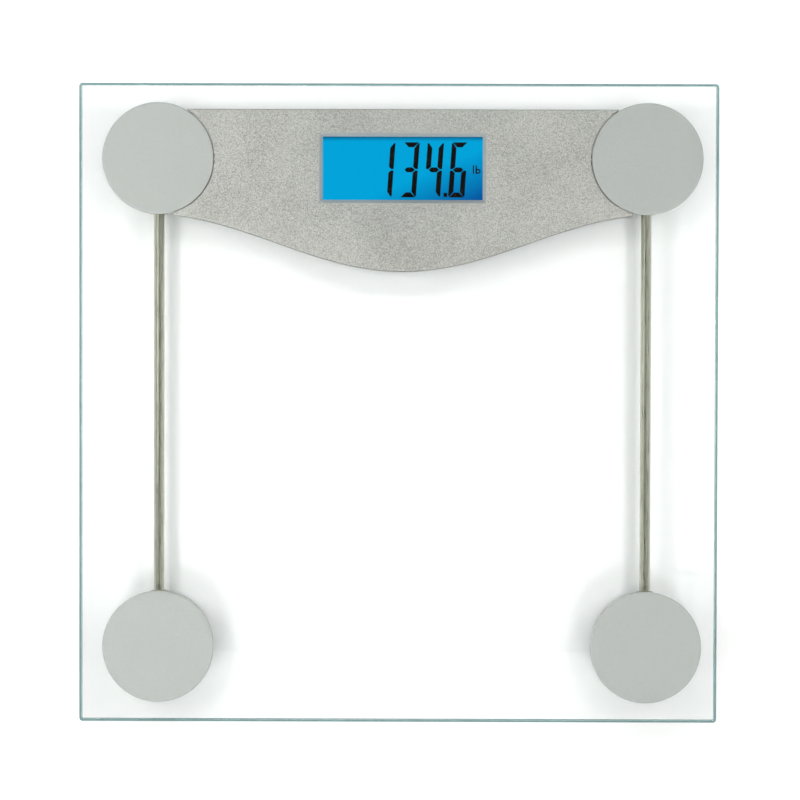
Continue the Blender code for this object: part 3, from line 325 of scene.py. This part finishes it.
finishes = {
    "textured_silver": sandTexturedSilverPaint(shellLook),
    # silver lacquer on moulded discs: even, satin. The faint greenish cast is partly from the glass above and
    # partly painted into the lacquer's colour, as light through the glass
    "satin_disc": grained("satinLacqueredDisc", {
        "dark": "#A7A9A5", "light": "#AFB1AD", "grain": 0.9, "bump": 0.004, "cloud": 40,
        "roughness": (0.5, 0.62)}),
    # moulded ABS with a matt mould face
    "grey_plastic": grained("mouldedGreyAbs", {
        "dark": "#9DA09C", "light": "#AEB1AD", "grain": 0.35, "bump": 0.03, "roughness": (0.5, 0.65)}),
    # drawn stainless steel tube: fine lines along its length, slightly warm
    "stainless": grained("drawnStainlessSteel", {
        "dark": "#A9A998", "light": "#C6C7B6", "grain": 0.25, "stretch": (1, 0.02, 1), "bump": 0.005,
        "roughness": (0.26, 0.36), "metal": 1.0, "cloud": 60}),
    # matt thermoplastic rubber, slightly dusty
    "rubber": grained("mouldedDarkRubber", {
        "dark": "#2A2B2C", "light": "#3D3E3F", "grain": 0.5, "bump": 0.03, "roughness": (0.7, 0.9)}),
    # stamped spring steel, rolled one way
    "cell_steel": grained("rolledSpringSteel", {
        "dark": "#9A9C9F", "light": "#C6C8CA", "grain": 0.2, "stretch": (0.05, 1, 1), "bump": 0.01,
        "roughness": (0.25, 0.4), "metal": 1.0}),
    # acrylic light guide with white film
    "backlight_white": grained("whiteFilmedLightGuide", {
        "dark": "#DDE3EA", "light": "#F0F4F8", "grain": 0.6, "bump": 0.01, "roughness": (0.3, 0.45)}),
    # glass-epoxy board: weave of the cloth shows through green mask
    "board_green": grained("greenSolderMask", {
        "dark": "#0E4A2A", "light": "#1D7043", "grain": 0.8, "bump": 0.02, "roughness": (0.3, 0.5),
        "coat": 0.3}),
    # black resin and elastomer
    "black_resin": grained("blackMouldedResin", {
        "dark": "#151517", "light": "#26272A", "grain": 0.3, "bump": 0.02, "roughness": (0.4, 0.6)}),
    # printed sleeve shrunk over a steel can
    "battery_wrap": grained("darkPrintedSleeve", {
        "dark": "#1B1D22", "light": "#2F333A", "grain": 1.2, "bump": 0.01, "roughness": (0.25, 0.4),
        "coat": 0.5, "metal": 0.3}),
    # nickel-plated steel: bright and slightly yellow
    "nickel": grained("nickelPlatedSteel", {
        "dark": "#A9A499", "light": "#D0CCC2", "grain": 0.4, "bump": 0.008, "roughness": (0.18, 0.32),
        "metal": 1.0}),
    # extruded PVC round the leads and wires: even colour, a soft low sheen
    "lead_grey": grained("greyPvcSleeve", {
        "dark": "#6A6B6C", "light": "#7F8081", "grain": 0.5, "bump": 0.01, "roughness": (0.45, 0.6)}),
    "wire_red": grained("redPvcInsulation", {
        "dark": "#9A1D1D", "light": "#BE2F2B", "grain": 0.5, "bump": 0.01, "roughness": (0.4, 0.55)}),
    "wire_black": grained("blackPvcInsulation", {
        "dark": "#161617", "light": "#29292B", "grain": 0.5, "bump": 0.01, "roughness": (0.4, 0.55)}),
}
print("finishes made:", len(finishes))


glassLook = {
    "corner": 1.7 * mm,    # radius in plan
    "chamfer": 1.2 * mm,   # of the ground edge
    "ease": 0.25 * mm,     # polish on the edge's arrises
    "hold": 0.35 * mm,     # flat ring inside the chamfer; chamfer and hold together stay below the corner
    "cornerSteps": 9,
    "sideSteps": 12,
}


def glassSheet(look):
    # the sheet's half section (inset from the outline, height) carried round the rounded square
    low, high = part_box("glass_platform")
    outline, outward = roundedSquare(low[:2], high[:2], look["corner"], look["cornerSteps"],
                                     look["sideSteps"])
    c = look["chamfer"]
    section = easedLine([(c + look["hold"], low.z), (c, low.z), (0, low.z + c), (0, high.z - c),
                         (c, high.z), (c + look["hold"], high.z)], look["ease"])
    rings = plateRings(outline, outward, section)
    ground = (section[:-1, 0] + section[1:, 0]) / 2 < c   # bands of the ground edge

    def bandFinish(band):
        inside = (band >= 0) & (band < len(ground))
        return np.where(inside, ground[np.clip(band, 0, len(ground) - 1)], 0)

    return skin("glass_sheet", rings, [floatGlass(floatGlassLook), groundGlassEdge(glassEdgeLook)],
                bandFinish=bandFinish)


glass = glassSheet(glassLook)
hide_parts("glass_platform")
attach(glass, "platform")
print("glass sheet done")


discLook = {
    "rim": 0.5 * mm,    # chamfer of the upper rim
    "hold": 1.5 * mm,   # how far in from the outline a ring keeps the flat faces flat
    "ease": 0.2 * mm,
    "sides": 160,
}


def mountingDisc(foot, look):
    # a disc turned from its half section (radius, height), the rim eased above and below
    low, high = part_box(foot + "_disc")
    r = (high.x - low.x) / 2
    rim, inner = look["rim"], r - look["hold"]
    section = easedLine([(inner, low.z), (r - rim / 2, low.z), (r, low.z + rim / 2), (r, high.z - rim),
                         (r - rim, high.z), (inner, high.z)], look["ease"])
    piece = skin(foot + "_mounting_disc", turnedRings(section, (low + high) / 2, look["sides"]),
                 [finishes["satin_disc"]])
    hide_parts(foot + "_disc")
    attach(piece, "platform")


cupLook = {
    "draft": 0.5 * mm,    # how much the cup narrows down to its rim
    "proud": 0.06 * mm,   # in front of the cup's own wall
    "wall": 0.35 * mm,
    "ease": 0.12 * mm,
    "sides": 144,
}


def cupSleeve(foot, look):
    # the cup's outer face, evenly round: a thin wall's section (radius, height) carried round the foot's
    # axis, which is the disc's too, and leaning in towards the rim by the draft
    low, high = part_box(foot + "_cup")
    discLow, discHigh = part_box(foot + "_disc")
    r, wall, draft = (high.x - low.x) / 2 + look["proud"], look["wall"], look["draft"]
    half = (r - wall - draft / 2, (low.z + high.z) / 2)
    section = easedLine([half, (r - wall - draft, low.z), (r - draft, low.z), (r, high.z),
                         (r - wall, high.z), half], look["ease"])[:-1]
    rings = turnedRings(section, (discLow + discHigh) / 2, look["sides"])
    piece = skin(foot + "_cup_sleeve", rings, [finishes["grey_plastic"]], ends="joined")
    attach(piece, "platform")


for foot in feet:
    mountingDisc(foot, discLook)
    cupSleeve(foot, cupLook)
print("mounting discs and cups done")


tubeLook = {
    "wall": 0.5 * mm,
    "ease": 0.15 * mm,
    "sides": 72,
}


def wireTube(node, look):
    # the wall's section (radius, place along the tube) carried round the tube's middle line, along Y
    low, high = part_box(node)
    outer = (high.z - low.z) / 2
    inner = outer - look["wall"]
    half = (low.y + high.y) / 2
    wall = easedLine([(inner, half), (inner, high.y), (outer, high.y), (outer, low.y), (inner, low.y),
                      (inner, half)], look["ease"])[:-1]
    turn = circleOf(look["sides"])
    rings = np.stack([wall[:, :1] * turn[None, :, 0] + (low.x + high.x) / 2,
                      np.broadcast_to(wall[:, 1:], (len(wall), len(turn))),
                      wall[:, :1] * turn[None, :, 1] + (low.z + high.z) / 2], axis=2)
    piece = skin(node + "_drawn", rings, [finishes["stainless"]], ends="joined")
    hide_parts(node)
    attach(piece, "platform")


for node in ("left_tube", "right_tube"):
    wireTube(node, tubeLook)
print("wire tubes done")


bezelLook = {
    "slope": 1.6 * mm,     # how far the window widens towards the glass, on each side
    "inSides": 3.6 * mm,   # the opening's foot inside the display's outline: left and right,
    "inFront": 2.0 * mm,   # at the wavy edge's side,
    "inBack": 3.0 * mm,    # and at the back
    "depth": 1.8 * mm,     # of the sloping walls
    "corner": 0.5 * mm,    # radius at the foot
    "cornerSteps": 7,
    "sideSteps": 10,
    "skin": 0.06 * mm,
    "sunk": 0.02 * mm,     # how far the skin's back lies in the wall at the foot
    "lift": 0.01 * mm,     # and stands off the housing's top
    "lip": 0.35 * mm,      # flat rim on the housing's top
    # the same silver over a polished mould face: smooth, a little glossier
    "finish": {"dark": "#A6A7A2", "light": "#B6B7B2", "grain": 0.5, "bump": 0.004,
               "roughness": (0.35, 0.48), "metal": 0.1},
}


def windowBezel(look):
    # a thin smooth frame on the window's sloping walls: its section (outward, height) runs up the slope and
    # over the rim, then back underneath, and is carried round the window
    low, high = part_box("lcd_panel")
    near = (low.x + look["inSides"], low.y + look["inFront"])
    far = (high.x - look["inSides"], high.y - look["inBack"])
    outline, outward = roundedSquare(near, far, look["corner"], look["cornerSteps"], look["sideSteps"])
    slope, lip, sunk, t = look["slope"], look["lip"], look["sunk"], look["skin"]
    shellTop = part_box("upper_shell")[1].z
    foot, under, over = shellTop - look["depth"], shellTop + look["lift"], shellTop + t
    section = np.array([(sunk, foot), (slope + t, under), (slope + lip, under),
                        (slope + lip, over), (slope - t, over), (sunk - t, foot)])
    rings = plateRings(outline, -outward, section)
    piece = skin("window_bezel", rings, [grained("smoothSilverBezel", look["finish"])], ends="joined",
                 sharpDeg=25)
    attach(piece, "platform")


windowBezel(bezelLook)
print("window bezel done")


displayLook = {
    "cyan": "#00A8E0",      # lit field
    "deep": "#0553A0",      # lower right corner, furthest from the lamps
    "deepSpan": (0.25, 0.95),    # where the light starts and ends falling off, 1 being that corner
    "mottle": 14,           # mm, uneven patches in the field,
    "mottleShare": 0.12,    # and how much they shift it
    "shade": "#0B4470",     # under the window's upper edge
    "shadeSpan": (0.84, 0.94),   # of the panel's height, where it comes in
    "unlit": "#000C18",     # the glass itself
    "glow": 1.0,
    "digitHeight": 26.3 * mm,
    "digitWidth": 7.8 * mm,
    "pitch": 11.6 * mm,
    "upright": 2.35 * mm,   # width of the upright segments
    "level": 2.35 * mm,     # and of the level ones
    "gap": 0.35 * mm,
    "slantDeg": 4.0,
    "ink": 0.05 * mm,       # height of the segment film,
    "inkLift": 0.01 * mm,   # and the gap under it
    "readingAt": (-10.4 * mm, 98.6 * mm),   # lower left of the first digit, from the glass's middle
    "reading": "1346",
    "litBars": {"1": "bc", "3": "abgcd", "4": "fgbc", "6": "afgedc"},
    "pointAt": (21.3 * mm, 98.8 * mm),
    "pointSize": (1.8 * mm, 2.0 * mm),
    "unitAt": (35.3 * mm, 109.9 * mm),
    "unitTall": 4.0 * mm,
    "unitStroke": 0.62 * mm,
    "unitStep": 2.1,        # strokes, from one upright to the next
    "unitBowl": 1.2 * mm,   # outer radius
    "bowlSides": 28,
    # twisted crystal between polarisers: nearly black, a little warm, never quite even
    "inkFinish": {"dark": "#080605", "light": "#120E0C", "grain": 0.6, "bump": 0.001,
                  "roughness": (0.18, 0.26)},
}


def litDisplay(look):
    # LCD glass over an edge-lit guide: the light falls off toward one corner, and the frame shades its top
    finish, tree, place = newFinish("backlitLcdGlass")
    low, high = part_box("lcd_panel")
    part = addNode(tree, "ShaderNodeSeparateXYZ", None, {0: place})
    right = addNode(tree, "ShaderNodeMapRange", {1: low.x, 2: high.x}, {0: part.outputs[0]}).outputs[0]
    up = addNode(tree, "ShaderNodeMapRange", {1: low.y, 2: high.y}, {0: part.outputs[1]}).outputs[0]
    across = addNode(tree, "ShaderNodeMath", {"operation": "SUBTRACT"}, {0: right, 1: up}).outputs[0]
    mottle = addNode(tree, "ShaderNodeTexNoise", {"Scale": 1 / (look["mottle"] * mm), "Detail": 2.0},
                     {"Vector": place}).outputs[0]
    field = addNode(tree, "ShaderNodeMath", {"operation": "MULTIPLY_ADD", 1: look["mottleShare"]},
                    {0: mottle, 2: across}).outputs[0]
    start, end = look["deepSpan"]
    lit = addNode(tree, "ShaderNodeValToRGB", {"stops": [(start, look["cyan"]), (end, look["deep"])]},
                  {0: field}).outputs[0]
    start, end = look["shadeSpan"]
    top = addNode(tree, "ShaderNodeMapRange", {1: start, 2: end, "interpolation_type": "SMOOTHSTEP"},
                  {0: up}).outputs[0]
    colour = addNode(tree, "ShaderNodeMix", {"data_type": "RGBA", 7: linear(look["shade"])},
                     {0: top, 6: lit}).outputs[2]
    shader = addNode(tree, "ShaderNodeBsdfPrincipled",
                     {"Base Color": linear(look["unlit"]), "Roughness": 0.12,
                      "Emission Strength": look["glow"]},
                     {"Emission Color": colour})
    addNode(tree, "ShaderNodeOutputMaterial", None, {"Surface": shader.outputs[0]})
    return finish


def segmentShapes(look):
    # the seven bars of a digit in its own box, six corners each: f, e, b, c stand, a, g, d lie.
    # one upright, the top bar and the middle bar are drawn, their ends cut back by shares of the gap.
    # the others are these, flipped
    w, h, v, t, g = (look[k] for k in ("digitWidth", "digitHeight", "upright", "level", "gap"))
    m = h / 2
    tip = 0.45 * v   # where a bar comes to its point
    f = np.array([(0, h - 1.6 * g), (0, m + 1.4 * g), (tip, m + 0.7 * g), (v, m + t / 2 + 0.6 * g),
                  (v, h - t - g), (0.25 * v, h - 0.9 * g)])
    a = np.array([(1.4 * g, h), (tip + g, h - 0.45 * t), (v + g, h - t), (w - v - g, h - t),
                  (w - tip - g, h - 0.45 * t), (w - 1.4 * g, h)])
    bar = np.array([(tip + g, m), (v + 0.8 * g, m - t / 2), (w - v - 0.8 * g, m - t / 2), (w - tip - g, m),
                    (w - v - 0.8 * g, m + t / 2), (v + 0.8 * g, m + t / 2)])

    def flipX(p):
        return np.stack([w - p[:, 0], p[:, 1]], axis=1)[::-1]

    def flipY(p):
        return np.stack([p[:, 0], h - p[:, 1]], axis=1)[::-1]

    return {"f": f, "e": flipY(f), "b": flipX(f), "c": flipX(flipY(f)), "a": a, "d": flipY(a), "g": bar}


def platesFrom(name, outlines, low, high, finish):
    # every outline becomes a thin closed plate: its corners at the low height, then again at the high one
    points, faces, start = [], [], 0
    for outline in outlines:
        n = len(outline)
        foot = np.arange(n) + start
        heights = np.repeat([low, high], n)[:, None]
        points.append(np.concatenate([np.tile(outline, (2, 1)), heights], axis=1))
        sides = np.stack([foot, np.roll(foot, -1), np.roll(foot, -1) + n, foot + n], axis=1)
        faces += [foot[::-1].tolist(), (foot + n).tolist()] + sides.tolist()
        start += 2 * n
    mesh = bpy.data.meshes.new(name)
    mesh.from_pydata(np.concatenate(points).tolist(), [], faces)
    mesh.materials.append(finish)
    piece = bpy.data.objects.new(name, mesh)
    bpy.context.scene.collection.objects.link(piece)
    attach(piece, "platform")


def boxOutline(x, y, wide, tall):
    # a rectangle's corners, anticlockwise from its lower left
    return np.array([(x, y), (x + wide, y), (x + wide, y + tall), (x, y + tall)])


def readingOnDisplay(look):
    # the lit bars of each digit, leant over by x += (y - middle) tan(slant), the point, and the unit
    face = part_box("lcd_panel")[1].z + look["inkLift"]
    top = face + look["ink"]
    ink = grained("darkLiquidCrystal", look["inkFinish"])
    shapes = segmentShapes(look)
    slant = math.tan(math.radians(look["slantDeg"]))
    x, y = look["readingAt"]
    bars = []
    for k, lit in enumerate(look["reading"]):
        for bar in look["litBars"][lit]:
            place = shapes[bar] + (x + k * look["pitch"], y)
            place[:, 0] += (place[:, 1] - y - look["digitHeight"] / 2) * slant
            bars.append(place)
    bars.append(boxOutline(*look["pointAt"], *look["pointSize"]))
    platesFrom("lcd_reading", bars, face, top, ink)
    # the small unit beside the reading: two uprights, and a ring for the bowl of the b
    x, y = look["unitAt"]
    tall, stroke, bowl = look["unitTall"], look["unitStroke"], look["unitBowl"]
    second = x + look["unitStep"] * stroke
    strokes = [boxOutline(left, y, stroke, tall) for left in (x, second)]
    platesFrom("lcd_unit_strokes", strokes, face, top, ink)
    ring = turnedRings([(bowl, face), (bowl, top), (bowl - stroke, top), (bowl - stroke, face)],
                       (second + bowl, y + bowl), look["bowlSides"])
    piece = skin("lcd_unit_bowl", ring, [ink], ends="joined")
    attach(piece, "platform")


nodes["lcd_panel"].data.materials.clear()
nodes["lcd_panel"].data.materials.append(litDisplay(displayLook))
readingOnDisplay(displayLook)
print("display done")


paintedWith = {
    "textured_silver": ["upper_shell"],
    "grey_plastic": ["lower_shell", "battery_door"]
                    + [foot + part for foot in feet for part in ("_cup", "_foot")],
    "rubber": [foot + "_pad" for foot in feet],
    "cell_steel": [foot + "_load_cell" for foot in feet],
    "backlight_white": ["backlight"],
    "board_green": ["circuit_board"],
    "black_resin": ["lcd_contact_strip", "controller_chip", "unit_switch", "unit_button"],
    "battery_wrap": ["front_battery", "back_battery"],
    "nickel": ["positive_contact", "negative_contact", "link_contact", "left_spring", "right_spring"]
              + ["shell_screw_%d" % k for k in range(1, 7)] + ["board_screw_%d" % k for k in range(1, 5)],
    "lead_grey": [foot + "_lead" for foot in feet],
    "wire_red": ["red_wire"],
    "wire_black": ["black_wire"],
}
for finishName, members in paintedWith.items():
    for member in members:
        mesh = nodes[member].data
        mesh.materials.clear()
        mesh.materials.append(finishes[finishName])
print("CAD nodes painted")


stageLook = {
    "floor": "#F3F3F2",
    "floorFibre": "#F1F1F0",
    "fibre": 3,              # mm, the paper's clumps of fibre
    "floorRadius": 4.0,
    "floorDepth": 0.02,
    "paintedGlowFrom": 0.121,      # painted light: beyond this distance in x or y the paper glows, from just outside the tubes, which washes out the shadows cast outwards,
    "paintedGlowFull": 0.70,       # fully from here on, so that it stays white to the horizon,
    "paintedGlowRise": 0.50,       # quickly at first
    "sky": "#FFFFFF",
    "ceiling": "#1C1C1C",    # unlit patch straight overhead, so that the glass and display don't fog over
    "ceilingSpan": (0.86, 0.975),   # heights (as sines, 1 being overhead) between which the sky fades to it
    "skyStrength": 0.24,
    "horizonStrength": 0.9,  # added low down, where the studio's walls are,
    "horizonSpan": (0.08, 0.28),    # fading out between these heights
    "lamps": {               # where each softbox hangs (x, y), its size along x and y, and its watts
        "lampBack": (0.0, 0.34, 0.70, 0.10, 1.45),
        "lampLeft": (-0.34, 0.06, 0.10, 0.20, 0.79),
        "lampRight": (0.34, 0.06, 0.10, 0.20, 0.74),
        "lampFrontLeft": (-0.28, -0.35, 0.16, 0.10, 0.68),
        "lampFrontRight": (0.28, -0.35, 0.16, 0.10, 0.66),
    },
    "lampHeight": 0.45,      # they face straight down
}


def paleFloor(look):
    # mat white paper with painted light: it glows by ((max(|x|, |y|) - from) / (full - from)) ^ rise, a
    # square with soft sides
    finish, tree, place = newFinish("matWhitePaperWithPaintedGlow")
    fibre = addNode(tree, "ShaderNodeTexNoise", {"Scale": 1 / (look["fibre"] * mm), "Detail": 2.0},
                    {"Vector": place}).outputs[0]
    colour = addNode(tree, "ShaderNodeValToRGB", {"stops": [(0.3, look["floorFibre"]), (0.7, look["floor"])]},
                     {0: fibre}).outputs[0]
    unsigned = addNode(tree, "ShaderNodeVectorMath", {"operation": "ABSOLUTE"}, {0: place}).outputs[0]
    part = addNode(tree, "ShaderNodeSeparateXYZ", None, {0: unsigned})
    away = addNode(tree, "ShaderNodeMath", {"operation": "MAXIMUM"},
                   {0: part.outputs[0], 1: part.outputs[1]}).outputs[0]
    share = addNode(tree, "ShaderNodeMapRange", {1: look["paintedGlowFrom"], 2: look["paintedGlowFull"]},
                    {0: away}).outputs[0]
    glow = addNode(tree, "ShaderNodeMath", {"operation": "POWER", 1: look["paintedGlowRise"]},
                   {0: share}).outputs[0]
    # the paper's own colour glows by that amount: painted light, not a lamp
    shader = addNode(tree, "ShaderNodeBsdfPrincipled", {"Roughness": 0.9, "Specular IOR Level": 0.1},
                     {"Base Color": colour, "Emission Color": colour, "Emission Strength": glow})
    addNode(tree, "ShaderNodeOutputMaterial", None, {"Surface": shader.outputs[0]})
    ground, radius = cadBox[0].z, look["floorRadius"]
    rings = turnedRings([(radius, ground - look["floorDepth"]), (radius, ground)], (0, 0, 0), 96)
    floor = skin("studio_floor", rings, [finish])


paleFloor(stageLook)


def softStudio(look):
    # white all round and brighter near the horizon, fading to an unlit patch about 25 degrees wide overhead
    sky = bpy.data.worlds.new("softStudio")
    sky.use_nodes = True
    tree = sky.node_tree
    tree.nodes.clear()
    where = addNode(tree, "ShaderNodeTexCoord")
    up = addNode(tree, "ShaderNodeSeparateXYZ", None, {0: where.outputs["Generated"]}).outputs[2]
    start, end = look["ceilingSpan"]
    overhead = addNode(tree, "ShaderNodeMapRange", {1: start, 2: end, "interpolation_type": "SMOOTHSTEP"},
                       {0: up}).outputs[0]
    colour = addNode(tree, "ShaderNodeValToRGB", {"stops": [(0.0, look["sky"]), (1.0, look["ceiling"])]},
                     {0: overhead}).outputs[0]
    start, end = look["horizonSpan"]
    strength = addNode(tree, "ShaderNodeMapRange",
                       {1: start, 2: end, 3: look["skyStrength"] + look["horizonStrength"],
                        4: look["skyStrength"], "interpolation_type": "SMOOTHSTEP"}, {0: up}).outputs[0]
    light = addNode(tree, "ShaderNodeBackground", None, {"Color": colour, "Strength": strength})
    addNode(tree, "ShaderNodeOutputWorld", None, {"Surface": light.outputs[0]})
    bpy.context.scene.world = sky


softStudio(stageLook)
for name, (x, y, wide, deep, watts) in stageLook["lamps"].items():
    lamp = bpy.data.lights.new(name, "AREA")
    lamp.shape = "RECTANGLE"
    lamp.size, lamp.size_y = wide, deep
    lamp.energy = watts
    holder = bpy.data.objects.new(name, lamp)
    holder.location = (x, y, stageLook["lampHeight"])
    holder.visible_camera = False
    # the glass lets lamp light straight through already, and refraction would bring it once more
    holder.visible_transmission = False
    bpy.context.scene.collection.objects.link(holder)


cameraLook = {
    "place": (6.3 * mm, 35.5 * mm, 1400 * mm),
    "turnDeg": (-1.408, 0.234, 0.147),   # away from looking straight down
    "lens": 129.6,                       # mm
    "sensor": 36.0,                      # mm wide
}
lensBody = bpy.data.cameras.new("overheadCamera")
lensBody.lens = cameraLook["lens"]
lensBody.sensor_width = cameraLook["sensor"]
camera = bpy.data.objects.new("overheadCamera", lensBody)
camera.location = cameraLook["place"]
camera.rotation_euler = [math.radians(t) for t in cameraLook["turnDeg"]]
bpy.context.scene.collection.objects.link(camera)
bpy.context.scene.camera = camera
bpy.context.scene.view_settings.view_transform = "Standard"
print("stage set")
